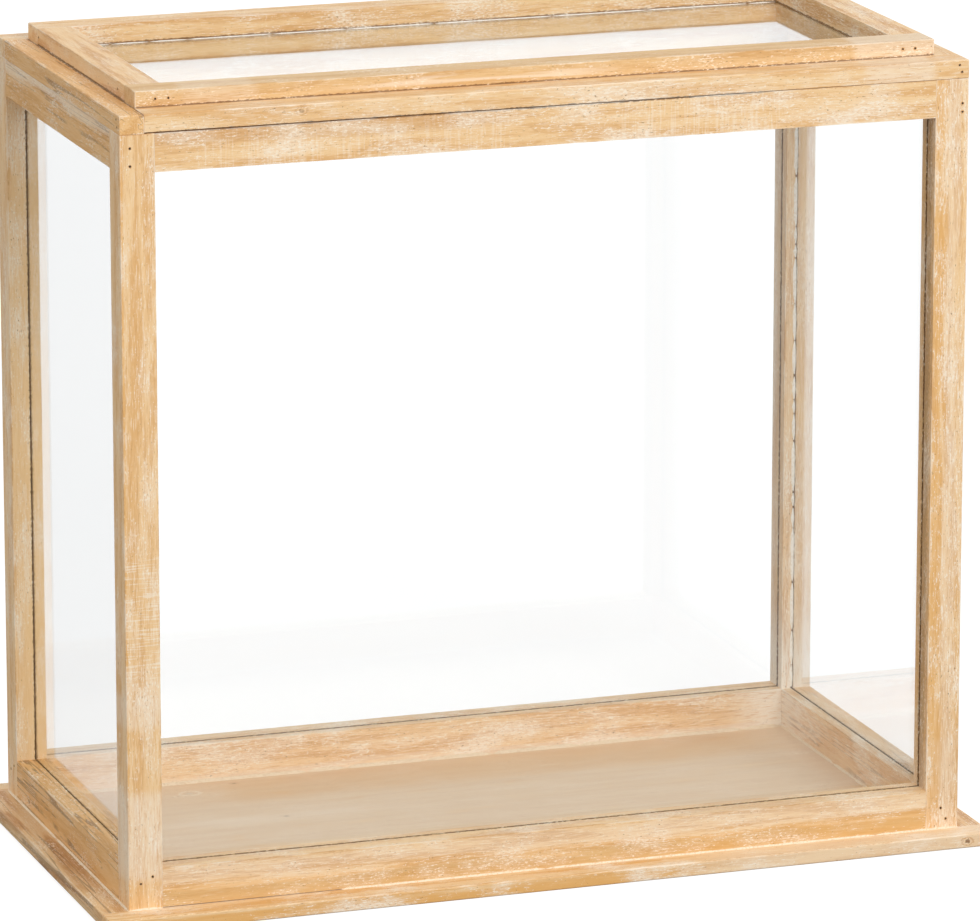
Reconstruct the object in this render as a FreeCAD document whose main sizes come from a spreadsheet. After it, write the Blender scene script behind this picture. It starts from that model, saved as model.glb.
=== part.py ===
import FreeCAD, Part
import os
import Sketcher

# Glazed table-top display case: a grooved post-and-rail frame on a lipped
# base board, five panes and a lid that lifts off. Millimetres, +Z up, the
# front faces -Y, the origin is the middle of the underside of the base.

doc = FreeCAD.newDocument("display_case")
sheet = doc.addObject("Spreadsheet::Sheet", "sizes")

SIZES = [
    # the frame of posts and rails
    ("body_width", 600, "outside of the posts, left to right"),
    ("body_depth", 302, "outside of the posts, front to back"),
    ("post_height", 530, "posts, from the base to the top"),
    ("post_side", 24, "side of a square post, and depth of a rail"),
    ("post_arris", 0.8, "radius on the outer corner of a post"),
    ("top_rail_height", 26, "height of a top rail"),
    ("bottom_rail_height", 28, "height of a bottom rail"),
    ("front_rail_planed", 0.6, "gap under the left end of the front bottom rail"),
    ("planed_length", 380, "length over which that gap runs out"),
    ("foot_tenon_side", 10, "side of the square stub under a post"),
    ("foot_tenon_length", 6, "length of that stub"),
    # the saw grooves for the glass, and the stub tenons that fill their ends
    ("groove_offset", 13.5, "outside face to the near wall of a groove"),
    ("groove_width", 3, "width of a groove"),
    ("groove_depth", 4.5, "depth of a groove"),
    ("tenon_play", 0.05, "space for glue on each cheek of a tenon"),
    ("tenon_end_play", 0.3, "space past the end of a tenon"),
    # the panes
    ("pane_thickness", 2.5, "thickness of all the glass"),
    ("pane_edge_play", 0.5, "space past the edge of a pane in its groove"),
    # the base board
    ("base_thickness", 10, "thickness of the base board"),
    ("base_overhang", 18.8, "base past the posts on every side"),
    ("base_arris", 1.2, "radius on the outer edges of the base"),
    ("tongue_low", 3.5, "underside of the base to its tongue"),
    ("tongue_thickness", 3, "thickness of the tongue round the base panel"),
    ("tongue_length", 4, "tongue past the edge of the base panel"),
    ("tongue_play", 0.2, "space past the tongue in the lipping"),
    # the lid
    ("rim_height", 13, "height of the rim strips of the lid"),
    ("rim_side_width", 17, "width of the left and right rim strips"),
    ("rim_end_width", 21.5, "width of the front and back rim strips"),
    ("rim_arris", 0.9, "radius on the outer top edge of the rim"),
    ("rim_gap_left", 0.9, "gap under the left end of the front rim"),
    ("rim_gap_right", 0.2, "gap under the right end of the front rim"),
    ("lid_height", 24.3, "lid frame above the top of the posts"),
    ("lid_member_width", 24, "width of a member of the lid frame"),
    ("lid_arris", 0.8, "radius on the outer top edge of the lid frame"),
    ("lid_glass_rest", 7.5, "underside of the lid glass above the posts"),
    ("lip_drop", 5, "lid frame down inside the case"),
    ("lip_play", 0.8, "space between that lip and the rails"),
]

for row, (name, value, note) in enumerate(SIZES, start=1):
    sheet.set("A%d" % row, name)
    sheet.set("B%d" % row, str(value))
    sheet.setAlias("B%d" % row, name)
    sheet.set("C%d" % row, note)
doc.recompute()

# Places and lengths that several pieces share, as expressions on the sheet.
LEFT = "-sizes.body_width / 2"
RIGHT = "sizes.body_width / 2"
FRONT = "-sizes.body_depth / 2"
BACK = "sizes.body_depth / 2"
LONG_RAIL = "(sizes.body_width - 2 * sizes.post_side)"
SHORT_RAIL = "(sizes.body_depth - 2 * sizes.post_side)"
GROOVE_FAR_WALL = "(sizes.groove_offset + sizes.groove_width)"
TENON_LENGTH = "(sizes.groove_depth - sizes.tenon_end_play)"
PANE_REACH = "(sizes.groove_depth - sizes.pane_edge_play)"
PANE_FACE = "(sizes.groove_offset + (sizes.groove_width - sizes.pane_thickness) / 2)"
LONG_LIPPING = "(sizes.body_width + 2 * sizes.base_overhang)"
LID_LEVEL = "sizes.base_thickness + sizes.post_height"
LID_WIDTH = "(sizes.body_width - 2 * sizes.rim_side_width)"
LID_DEPTH = "(sizes.body_depth - 2 * sizes.rim_end_width)"
LID_OPENING_WIDTH = "(%s - 2 * sizes.lid_member_width)" % LID_WIDTH
LID_OPENING_DEPTH = "(%s - 2 * sizes.lid_member_width)" % LID_DEPTH
LID_GROOVE_WALL = "sizes.lid_member_width - sizes.groove_depth"
LID_GROOVE_LOW = "sizes.lid_glass_rest"
LID_GROOVE_HIGH = "sizes.lid_glass_rest + sizes.groove_width"


# Helpers

def value_of(expression):
    return float(sheet.evalExpression(expression))


def near(first, second):
    return abs(first - second) < 0.01


def new_body(name):
    body = doc.addObject("PartDesign::Body", name)
    body.Label = name
    return body


def place(body, x, y, z, angle=0):
    turn = FreeCAD.Rotation(FreeCAD.Vector(0, 0, 1), angle)
    body.Placement = FreeCAD.Placement(FreeCAD.Vector(0, 0, 0), turn)
    body.setExpression("Placement.Base.x", x)
    body.setExpression("Placement.Base.y", y)
    body.setExpression("Placement.Base.z", z)


def new_sketch(body, name, role, offset=None):
    sketch = body.newObject("Sketcher::SketchObject", body.Name + "_" + name)
    plane = next(item for item in body.Origin.OriginFeatures if item.Role == role)
    sketch.AttachmentSupport = [(plane, "")]
    sketch.MapMode = "FlatFace"
    if offset:
        sketch.setExpression("AttachmentOffset.Base.z", offset)
    return sketch


def bind(sketch, kind, line, expression, start):
    """Hold the first point of a line at a distance from the sketch's origin."""
    number = sketch.addConstraint(Sketcher.Constraint(kind, -1, 1, line, 1, start))
    sketch.setExpression("Constraints[%d]" % number, expression)


def outline(sketch, corners):
    """A closed outline of straight lines; each corner is a pair of expressions."""
    count = len(corners)
    values = [(value_of(across), value_of(up)) for across, up in corners]
    for number in range(count):
        start = FreeCAD.Vector(*values[number], 0)
        end = FreeCAD.Vector(*values[(number + 1) % count], 0)
        sketch.addGeometry(Part.LineSegment(start, end), False)
    for number in range(count):
        following = (number + 1) % count
        sketch.addConstraint(Sketcher.Constraint("Coincident", number, 2, following, 1))
    for number, (across, up) in enumerate(corners):
        bind(sketch, "DistanceX", number, across, values[number][0])
        bind(sketch, "DistanceY", number, up, values[number][1])


def rectangle(sketch, left, right, low, high):
    outline(sketch, [(left, low), (right, low), (right, high), (left, high)])


def pad(body, sketch, length, both_ways=False, turned=False):
    feature = body.newObject("PartDesign::Pad", sketch.Name + "_pad")
    feature.Profile = sketch
    feature.setExpression("Length", length)
    feature.SideType = "Symmetric" if both_ways else "One side"
    feature.Reversed = turned
    sketch.Visibility = False


def pocket(body, sketch, length=None, both_ways=False, turned=False):
    """Cut as deep as length, or right through without one."""
    feature = body.newObject("PartDesign::Pocket", sketch.Name + "_cut")
    feature.Profile = sketch
    feature.SideType = "Symmetric" if both_ways else "One side"
    if length:
        feature.setExpression("Length", length)
    else:
        feature.Type = "ThroughAll"
    feature.Reversed = turned
    sketch.Visibility = False


def soften(body, radius, is_wanted):
    """Round the edges whose middle point is wanted."""
    doc.recompute()
    base = body.Tip
    chosen = []
    for number, edge in enumerate(base.Shape.Edges, start=1):
        middle = edge.valueAt((edge.FirstParameter + edge.LastParameter) / 2)
        if is_wanted(middle):
            chosen.append("Edge%d" % number)
    feature = body.newObject("PartDesign::Fillet", body.Name + "_arris")
    feature.Base = (base, chosen)
    feature.setExpression("Radius", radius)


# Posts

def make_post(name, x, y, angle):
    """A square post with its outer corner at the local origin. Both inner faces
    have a groove over the full length, and a square stub enters the base."""
    body = new_body(name)
    section = new_sketch(body, "section", "XY_Plane")
    rectangle(section, "0", "sizes.post_side", "0", "sizes.post_side")
    pad(body, section, "sizes.post_height")
    wall = "sizes.post_side - sizes.groove_depth"
    groove_x = new_sketch(body, "groove_x", "XY_Plane")
    rectangle(groove_x, wall, "sizes.post_side", "sizes.groove_offset", GROOVE_FAR_WALL)
    pocket(body, groove_x, turned=True)
    groove_y = new_sketch(body, "groove_y", "XY_Plane")
    rectangle(groove_y, "sizes.groove_offset", GROOVE_FAR_WALL, wall, "sizes.post_side")
    pocket(body, groove_y, turned=True)
    soften(body, "sizes.post_arris", lambda point: near(point.x, 0) and near(point.y, 0))
    low = "(sizes.post_side - sizes.foot_tenon_side) / 2"
    high = "(sizes.post_side + sizes.foot_tenon_side) / 2"
    foot = new_sketch(body, "foot", "XY_Plane")
    rectangle(foot, low, high, low, high)
    pad(body, foot, "sizes.foot_tenon_length", turned=True)
    place(body, x, y, "sizes.base_thickness", angle)


make_post("post_front_left", LEFT, FRONT, 0)
make_post("post_front_right", RIGHT, FRONT, 90)
make_post("post_back_right", RIGHT, BACK, 180)
make_post("post_back_left", LEFT, BACK, 270)


# Rails

def make_rail(name, length, height, is_top, x, y, angle):
    """A rail along local X with its outside face at local y = 0, grooved for the
    pane, and with a stub tenon at each end that fills the post's groove."""
    body = new_body(name)
    section = new_sketch(body, "section", "YZ_Plane")
    rectangle(section, "0", "sizes.post_side", "0", height)
    pad(body, section, length, both_ways=True)
    if is_top:
        groove_low, groove_high = "0", "sizes.groove_depth"
        tenon_low, tenon_high = "sizes.groove_depth", height
        level = "sizes.base_thickness + sizes.post_height - sizes.top_rail_height"
    else:
        groove_low, groove_high = height + " - sizes.groove_depth", height
        tenon_low, tenon_high = "0", height + " - sizes.groove_depth"
        level = "sizes.base_thickness"
    tenon = new_sketch(body, "tenon", "YZ_Plane")
    rectangle(tenon, "sizes.groove_offset + sizes.tenon_play",
              GROOVE_FAR_WALL + " - sizes.tenon_play", tenon_low, tenon_high)
    pad(body, tenon, length + " + 2 * " + TENON_LENGTH, both_ways=True)
    groove = new_sketch(body, "groove", "YZ_Plane")
    rectangle(groove, "sizes.groove_offset", GROOVE_FAR_WALL, groove_low, groove_high)
    pocket(body, groove, both_ways=True)
    if name == "bottom_rail_front":
        plane_underside(body)
    place(body, x, y, level, angle)


def plane_underside(body):
    """The front bottom rail is planed out of true and stands off at the left."""
    start = "-%s / 2 - sizes.groove_depth" % LONG_RAIL
    end = start + " + sizes.planed_length"
    wedge = new_sketch(body, "planed", "XZ_Plane")
    outline(wedge, [(start, "-1"), (end, "-1"), (end, "0"), (start, "sizes.front_rail_planed")])
    pocket(body, wedge, both_ways=True)


for level_name, rail_height, is_top in (("bottom", "sizes.bottom_rail_height", False),
                                        ("top", "sizes.top_rail_height", True)):
    prefix = level_name + "_rail_"
    make_rail(prefix + "front", LONG_RAIL, rail_height, is_top, "0", FRONT, 0)
    make_rail(prefix + "right", SHORT_RAIL, rail_height, is_top, RIGHT, "0", 90)
    make_rail(prefix + "back", LONG_RAIL, rail_height, is_top, "0", BACK, 180)
    make_rail(prefix + "left", SHORT_RAIL, rail_height, is_top, LEFT, "0", -90)


# Panes of the four sides

def make_pane(name, length, x, y, angle):
    """A pane seated on the floor of the groove in the bottom rail."""
    body = new_body(name)
    half = "(%s / 2 + %s)" % (length, PANE_REACH)
    height = ("sizes.post_height - sizes.top_rail_height - sizes.bottom_rail_height"
              " + sizes.groove_depth + " + PANE_REACH)
    edges = new_sketch(body, "edges", "XZ_Plane", "-" + PANE_FACE)
    rectangle(edges, "-" + half, half, "0", height)
    pad(body, edges, "sizes.pane_thickness", turned=True)
    place(body, x, y,
          "sizes.base_thickness + sizes.bottom_rail_height - sizes.groove_depth", angle)


make_pane("glass_front", LONG_RAIL, "0", FRONT, 0)
make_pane("glass_right", SHORT_RAIL, RIGHT, "0", 90)
make_pane("glass_back", LONG_RAIL, "0", BACK, 180)
make_pane("glass_left", SHORT_RAIL, LEFT, "0", -90)


# Base board: a panel with a tongue all round, and four lippings

def make_base_panel():
    body = new_body("base_panel")
    edges = new_sketch(body, "edges", "XY_Plane")
    rectangle(edges, LEFT, RIGHT, FRONT, BACK)
    pad(body, edges, "sizes.base_thickness")
    for name, past_ends, past_sides in (("tongue_long", "0", "sizes.tongue_length"),
                                        ("tongue_short", "sizes.tongue_length", "0")):
        tongue = new_sketch(body, name, "XY_Plane", "sizes.tongue_low")
        rectangle(tongue, "%s - %s" % (LEFT, past_ends), "%s + %s" % (RIGHT, past_ends),
                  "%s - %s" % (FRONT, past_sides), "%s + %s" % (BACK, past_sides))
        pad(body, tongue, "sizes.tongue_thickness")
    near_side = "(sizes.post_side - sizes.foot_tenon_side) / 2 - sizes.tenon_play"
    far_side = "(sizes.post_side + sizes.foot_tenon_side) / 2 + sizes.tenon_play"
    columns = {"left": (LEFT, "+"), "right": (RIGHT, "-")}
    rows = {"front": (FRONT, "+"), "back": (BACK, "-")}
    for column, (x_edge, x_way) in columns.items():
        for row_name, (y_edge, y_way) in rows.items():
            mortise = new_sketch(body, "mortise_%s_%s" % (row_name, column), "XY_Plane",
                                 "sizes.base_thickness")
            rectangle(mortise, "%s %s (%s)" % (x_edge, x_way, near_side),
                      "%s %s (%s)" % (x_edge, x_way, far_side),
                      "%s %s (%s)" % (y_edge, y_way, near_side),
                      "%s %s (%s)" % (y_edge, y_way, far_side))
            pocket(body, mortise, "sizes.foot_tenon_length + sizes.tenon_end_play")
    place(body, "0", "0", "0")


def make_lipping(name, length, x, y, angle):
    """A lipping along local X with its outside face at local y = 0. The groove
    is as long as the side of the panel that it takes the tongue of."""
    body = new_body(name)
    runs_past = length == LONG_LIPPING
    section = new_sketch(body, "section", "YZ_Plane")
    rectangle(section, "0", "sizes.base_overhang", "0", "sizes.base_thickness")
    pad(body, section, length, both_ways=True)
    groove = new_sketch(body, "groove", "YZ_Plane")
    rectangle(groove, "sizes.base_overhang - sizes.tongue_length - sizes.tongue_play",
              "sizes.base_overhang", "sizes.tongue_low",
              "sizes.tongue_low + sizes.tongue_thickness")
    pocket(body, groove, "sizes.body_width" if runs_past else length, both_ways=True)
    half = value_of(length) / 2
    top = value_of("sizes.base_thickness")

    def on_outer_edge(point):
        on_level = near(point.z, 0) or near(point.z, top)
        return on_level and (near(point.y, 0) or (runs_past and near(abs(point.x), half)))

    soften(body, "sizes.base_arris", on_outer_edge)
    place(body, x, y, "0", angle)


make_base_panel()
make_lipping("base_lipping_front", LONG_LIPPING, "0", FRONT + " - sizes.base_overhang", 0)
make_lipping("base_lipping_back", LONG_LIPPING, "0", BACK + " + sizes.base_overhang", 180)
make_lipping("base_lipping_right", "sizes.body_depth", RIGHT + " + sizes.base_overhang", "0", 90)
make_lipping("base_lipping_left", "sizes.body_depth", LEFT + " - sizes.base_overhang", "0", -90)


# Lid: a frame with a lip underneath, its glass, and four rim strips

def make_lid_member(name, length, lip_length, rim_width, x, y, angle):
    """A member along local X with its outside face at local y = 0. The lip under
    it drops inside the rails of the case. The groove holds the lid glass."""
    body = new_body(name)
    is_long = length == LID_WIDTH
    section = new_sketch(body, "section", "YZ_Plane")
    rectangle(section, "0", "sizes.lid_member_width", "0", "sizes.lid_height")
    pad(body, section, length, both_ways=True)
    lip = new_sketch(body, "lip", "YZ_Plane")
    rectangle(lip, "sizes.post_side + sizes.lip_play - " + rim_width,
              "sizes.lid_member_width", "-sizes.lip_drop", "0")
    pad(body, lip, lip_length, both_ways=True)
    if not is_long:
        tongue = new_sketch(body, "tongue", "YZ_Plane")
        rectangle(tongue, "0", LID_GROOVE_WALL, LID_GROOVE_LOW + " + sizes.tenon_play",
                  LID_GROOVE_HIGH + " - sizes.tenon_play")
        pad(body, tongue, length + " + 2 * " + TENON_LENGTH, both_ways=True)
    groove = new_sketch(body, "groove", "YZ_Plane")
    rectangle(groove, LID_GROOVE_WALL, "sizes.lid_member_width", LID_GROOVE_LOW,
              LID_GROOVE_HIGH)
    pocket(body, groove, both_ways=True)
    half = value_of(length) / 2
    top = value_of("sizes.lid_height")
    soften(body, "sizes.lid_arris",
           lambda point: near(point.z, top)
           and (near(point.y, 0) or (is_long and near(abs(point.x), half))))
    place(body, x, y, LID_LEVEL, angle)


LONG_LIP = LONG_RAIL + " - 2 * sizes.lip_play"
make_lid_member("lid_frame_front", LID_WIDTH, LONG_LIP, "sizes.rim_end_width",
                "0", "-%s / 2" % LID_DEPTH, 0)
make_lid_member("lid_frame_back", LID_WIDTH, LONG_LIP, "sizes.rim_end_width",
                "0", "%s / 2" % LID_DEPTH, 180)
make_lid_member("lid_frame_right", LID_OPENING_DEPTH, LID_OPENING_DEPTH,
                "sizes.rim_side_width", "%s / 2" % LID_WIDTH, "0", 90)
make_lid_member("lid_frame_left", LID_OPENING_DEPTH, LID_OPENING_DEPTH,
                "sizes.rim_side_width", "-%s / 2" % LID_WIDTH, "0", -90)


def make_lid_glass():
    body = new_body("lid_glass")
    half_width = "(%s / 2 + %s)" % (LID_OPENING_WIDTH, PANE_REACH)
    half_depth = "(%s / 2 + %s)" % (LID_OPENING_DEPTH, PANE_REACH)
    edges = new_sketch(body, "edges", "XY_Plane")
    rectangle(edges, "-" + half_width, half_width, "-" + half_depth, half_depth)
    pad(body, edges, "sizes.pane_thickness")
    place(body, "0", "0", LID_LEVEL + " + sizes.lid_glass_rest")


make_lid_glass()


def make_rim(name, length, width, x, y, angle):
    """A rim strip along local -X with its outer corner at the local origin. Each
    strip starts behind the strip before it and runs past the end of the next."""
    body = new_body(name)
    section = new_sketch(body, "section", "YZ_Plane")
    rectangle(section, "0", width, "0", "sizes.rim_height")
    pad(body, section, length, turned=True)
    if name == "lid_rim_front":
        gap = new_sketch(body, "gap", "XZ_Plane")
        outline(gap, [("0", "-1"), ("0", "sizes.rim_gap_right"),
                      ("-" + length, "sizes.rim_gap_left"), ("-" + length, "-1")])
        pocket(body, gap, both_ways=True)
    top = value_of("sizes.rim_height")
    soften(body, "sizes.rim_arris",
           lambda point: near(point.z, top) and (near(point.y, 0) or near(point.x, 0)))
    place(body, x, y, LID_LEVEL, angle)


LONG_RIM = "(sizes.body_width - sizes.rim_side_width)"
SHORT_RIM = "(sizes.body_depth - sizes.rim_end_width)"
make_rim("lid_rim_front", LONG_RIM, "sizes.rim_end_width", RIGHT, FRONT, 0)
make_rim("lid_rim_right", SHORT_RIM, "sizes.rim_side_width", RIGHT, BACK, 90)
make_rim("lid_rim_back", LONG_RIM, "sizes.rim_end_width", LEFT, BACK, 180)
make_rim("lid_rim_left", SHORT_RIM, "sizes.rim_side_width", LEFT, FRONT, 270)


# Check every object, then write one file for each node

doc.recompute()
for item in doc.Objects:
    if "Invalid" in item.State or "Error" in item.State:
        raise RuntimeError("%s: %s" % (item.Label, item.State))

os.makedirs("parts", exist_ok=True)
for body in doc.findObjects("PartDesign::Body"):
    if body.Shape.isNull() or not body.Shape.isValid():
        raise RuntimeError("%s has no sound shape" % body.Label)
    body.Shape.exportStep("parts/%s.step" % body.Label)
    print(body.Label, len(body.Shape.Solids), "solid", round(body.Shape.Volume), "mm3")
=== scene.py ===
import math
import random

import bpy
import bmesh
from mathutils import Euler, Matrix, Vector


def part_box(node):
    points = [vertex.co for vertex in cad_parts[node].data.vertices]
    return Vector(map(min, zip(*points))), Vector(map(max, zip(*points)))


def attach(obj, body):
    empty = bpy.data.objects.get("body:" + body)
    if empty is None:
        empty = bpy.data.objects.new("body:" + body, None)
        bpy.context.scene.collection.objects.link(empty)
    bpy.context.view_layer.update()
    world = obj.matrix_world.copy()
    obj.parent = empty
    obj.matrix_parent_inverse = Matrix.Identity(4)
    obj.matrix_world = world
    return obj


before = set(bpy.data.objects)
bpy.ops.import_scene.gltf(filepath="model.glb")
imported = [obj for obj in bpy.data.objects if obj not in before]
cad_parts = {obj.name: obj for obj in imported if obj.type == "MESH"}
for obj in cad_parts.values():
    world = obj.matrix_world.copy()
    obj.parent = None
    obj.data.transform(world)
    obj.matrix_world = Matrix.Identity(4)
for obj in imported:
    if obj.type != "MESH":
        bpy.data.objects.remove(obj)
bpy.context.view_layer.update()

MM = 0.001

# Camera. It looks at the front left corner from a little above, without shift.
CAMERA_PLACE = Vector((-1.6387, -4.7712, 1.5197))
CAMERA_TURN = math.radians(19.044)
CAMERA_TILT = math.radians(14.005)
SENSOR_WIDTH = 36.0
FOCAL_PIXELS = 7500.0
IMAGE_WIDTH = 980.0

# Outer faces of the body, and heights of its parts
BODY_HALF_WIDTH = 300 * MM
BODY_HALF_DEPTH = 151 * MM
BASE_TOP = 10 * MM
BODY_TOP = 553 * MM
POST_SIDE = 24 * MM


def srgb(red, green, blue):
    """A colour as it is seen, 0 to 255, as the linear colour that nodes use."""
    linear = []
    for value in (red, green, blue):
        part = value / 255.0
        linear.append(part / 12.92 if part <= 0.04045 else ((part + 0.055) / 1.055) ** 2.4)
    return (*linear, 1.0)


# Small helpers for node trees

def new_material(name):
    material = bpy.data.materials.new(name)
    material.use_nodes = True
    tree = material.node_tree
    tree.nodes.clear()
    output = tree.nodes.new("ShaderNodeOutputMaterial")
    return material, tree, output


def feed(tree, socket, value):
    """Link an output, or set a plain value."""
    if isinstance(value, bpy.types.NodeSocket):
        tree.links.new(value, socket)
    else:
        socket.default_value = value


def math_node(tree, operation, first, second=0.0, clamp=False):
    node = tree.nodes.new("ShaderNodeMath")
    node.operation = operation
    node.use_clamp = clamp
    feed(tree, node.inputs[0], first)
    feed(tree, node.inputs[1], second)
    return node.outputs[0]


def mix_colours(tree, factor, first, second):
    node = tree.nodes.new("ShaderNodeMix")
    node.data_type = "RGBA"
    feed(tree, node.inputs[0], factor)
    feed(tree, node.inputs[6], first)
    feed(tree, node.inputs[7], second)
    return node.outputs[2]


def step_between(tree, value, low, high):
    """0 at low, 1 at high, smooth in between. Low may be the greater."""
    node = tree.nodes.new("ShaderNodeMapRange")
    node.interpolation_type = "SMOOTHSTEP"
    feed(tree, node.inputs["Value"], value)
    node.inputs["From Min"].default_value = low
    node.inputs["From Max"].default_value = high
    return node.outputs[0]


def noise(tree, coordinates, size, detail=2.0, roughness=0.5, distortion=0.0):
    """Noise whose spots are about size metres across."""
    node = tree.nodes.new("ShaderNodeTexNoise")
    feed(tree, node.inputs["Vector"], coordinates)
    node.inputs["Scale"].default_value = 1.0 / size
    node.inputs["Detail"].default_value = detail
    node.inputs["Roughness"].default_value = roughness
    node.inputs["Distortion"].default_value = distortion
    return node.outputs[0]


# Limed wood. Honey-coloured streaks under a worn white wash that is left as
# fine crumbs and haze, with dark pores, dirt in the grooves and pale arrises.

HONEY = srgb(228, 180, 120)
STRAW = srgb(242, 206, 156)
BROWN = srgb(202, 148, 92)
ORANGE = srgb(230, 174, 98)
LIME = srgb(250, 237, 218)
PORE = srgb(122, 84, 50)
# Dirt in the grooves, and also the painted shade of the seams where the lid's pieces meet.
DIRT_AND_SHADE = srgb(122, 84, 48)
GAP_SHADE = srgb(66, 42, 22)
GREY_WASH = srgb(231, 206, 176)
PALE_DUST = srgb(246, 238, 224)
# DULL_HONEY darkens faces to offset the orange light bounced onto them: painted shade.
DULL_HONEY = srgb(204, 168, 112)

GROOVE_PLACE_X = 285 * MM
GROOVE_PLACE_Y = 136 * MM
GROOVE_REACH_X = 280.8 * MM
GROOVE_REACH_Y = 131.8 * MM
GROOVE_HALF_WIDTH = 1.5 * MM
GROOVE_LOW_END = 32 * MM
GROOVE_HIGH_END = 519 * MM


class Wood:
    """The nodes that the layers of one piece of wood share."""

    def __init__(self, name, axis, box, seed):
        self.material, self.tree, self.output = new_material("wood_" + name)
        self.axis = axis
        self.low, self.high = box
        offset = Vector((0.37, 0.23, 0.31)) * seed + Vector((0.05, 0.1, 0.02))
        source = self.tree.nodes.new("ShaderNodeTexCoord")
        self.place = source.outputs["Object"]
        split = self.tree.nodes.new("ShaderNodeSeparateXYZ")
        self.tree.links.new(self.place, split.inputs[0])
        self.x, self.y, self.z = split.outputs
        self.along = split.outputs["XYZ".index(axis)]
        self.offset = offset
        self.streak = noise(self.tree, self.stretched(14.0), 7 * MM, 2.0, distortion=0.4)
        self.fibre = noise(self.tree, self.stretched(15.0), 0.75 * MM, 3.0, 0.7)
        self.patch = noise(self.tree, self.stretched(2.5), 20 * MM, 3.0, 0.6)
        self.crumb = noise(self.tree, self.stretched(3.0), 0.9 * MM, 2.0, 0.65)

    def stretched(self, stretch):
        mapping = self.tree.nodes.new("ShaderNodeMapping")
        scale = [1.0, 1.0, 1.0]
        scale["XYZ".index(self.axis)] = 1.0 / stretch
        mapping.inputs["Location"].default_value = self.offset
        mapping.inputs["Scale"].default_value = scale
        self.tree.links.new(self.place, mapping.inputs["Vector"])
        return mapping.outputs[0]

    def calc(self, operation, first, second=0.0, clamp=False):
        return math_node(self.tree, operation, first, second, clamp)

    def step(self, value, low, high):
        return step_between(self.tree, value, low, high)

    def paint(self, colour, over, amount, strength=1.0):
        if strength != 1.0:
            amount = self.calc("MULTIPLY", amount, strength)
        return mix_colours(self.tree, amount, colour, over)

    def band(self, value, low, high, soft):
        """1 where value is between low and high, with soft ends."""
        rise = self.step(value, low - soft / 2, low + soft / 2)
        fall = self.step(value, high + soft / 2, high - soft / 2)
        return self.calc("MULTIPLY", rise, fall)

    def near(self, value, middle, reach):
        """1 where value is middle, falling to 0 at a distance of reach."""
        gap = self.calc("ABSOLUTE", self.calc("SUBTRACT", value, middle))
        return self.step(gap, reach, reach * 0.6)

    def on_face(self, face):
        """1 on the face that is given as a direction and its place, else 0."""
        direction, place = face
        value = {"X": self.x, "Y": self.y, "Z": self.z}[direction]
        gap = self.calc("ABSOLUTE", self.calc("SUBTRACT", value, place))
        return self.step(gap, 1.2 * MM, 0.8 * MM)

    def edge_distance(self):
        """Distance from the nearest edge of the piece's box, which is the middle
        one of the distances from its three nearest faces."""
        inside = []
        for value, low, high in zip((self.x, self.y, self.z), self.low, self.high):
            gap = self.calc("ABSOLUTE", self.calc("SUBTRACT", value, (low + high) / 2))
            inside.append(self.calc("SUBTRACT", (high - low) / 2, gap))
        first, second, third = inside
        lesser = self.calc("MINIMUM", first, second)
        greater = self.calc("MAXIMUM", first, second)
        return self.calc("MAXIMUM", lesser, self.calc("MINIMUM", greater, third))


# Marks that only some pieces have. Each function gives a layer, which takes the
# wood and the colour so far and returns the colour with the mark on it.

def saw_marks(start, end, face, strength=0.6):
    """Pale strokes across the grain of one face, left by the saw, from start to end."""
    def add(wood, colour):
        across = wood.stretched(0.055)
        strokes = noise(wood.tree, across, 26 * MM, 2.0, 0.6)
        strokes = wood.step(strokes, 0.50, 0.62)
        broken = wood.step(wood.fibre, 0.34, 0.52)
        where = wood.calc("MULTIPLY", wood.band(wood.along, start, end, 10 * MM), wood.on_face(face))
        strokes = wood.calc("MULTIPLY", wood.calc("MULTIPLY", strokes, broken), where)
        return wood.paint(colour, LIME, strokes, strength)
    return add


def seam(direction, place, half_width, strength=0.85, reach=None, face=None, over=DIRT_AND_SHADE):
    """A thin ragged line along the grain: dark in an open joint, pale in a filled one, and painted shade
    where two pieces meet without a gap in the solids.
    """
    def add(wood, colour):
        across = {"X": wood.x, "Y": wood.y, "Z": wood.z}[direction]
        gap = wood.calc("ABSOLUTE", wood.calc("SUBTRACT", across, place))
        ragged = wood.calc("MULTIPLY", wood.calc("SUBTRACT", wood.crumb, 0.45), 3.0 * half_width)
        line = wood.step(wood.calc("ADD", gap, ragged), 1.3 * half_width, 0.6 * half_width)
        if reach:
            line = wood.calc("MULTIPLY", line, wood.band(wood.along, reach[0], reach[1], 40 * MM))
        if face:
            line = wood.calc("MULTIPLY", line, wood.on_face(face))
        return wood.paint(colour, over, line, strength)
    return add


def pale_patch(start, end, strength=0.4, soft=8 * MM, over=LIME, face=None):
    """A stretch along the grain where more of the wash or of the dust is left, on
    all faces or on one."""
    def add(wood, colour):
        where = wood.band(wood.along, start, end, soft)
        if face:
            where = wood.calc("MULTIPLY", where, wood.on_face(face))
        ragged = wood.step(wood.fibre, 0.26, 0.50)
        return wood.paint(colour, over, wood.calc("MULTIPLY", where, ragged), strength)
    return add


def tinted_strip(direction, start, end, over, strength=0.5, soft=5 * MM, reach=None):
    """A strip of another colour along the grain, between two places across it.
    Reach gives the places along the grain where it fades in and out."""
    def add(wood, colour):
        across = {"X": wood.x, "Y": wood.y, "Z": wood.z}[direction]
        waver = wood.calc("MULTIPLY", wood.calc("SUBTRACT", wood.streak, 0.5), 14 * MM)
        where = wood.band(wood.calc("ADD", across, waver), start, end, soft)
        if reach:
            where = wood.calc("MULTIPLY", where, wood.band(wood.along, reach[0], reach[1], 60 * MM))
        return wood.paint(colour, over, where, strength)
    return add


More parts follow.
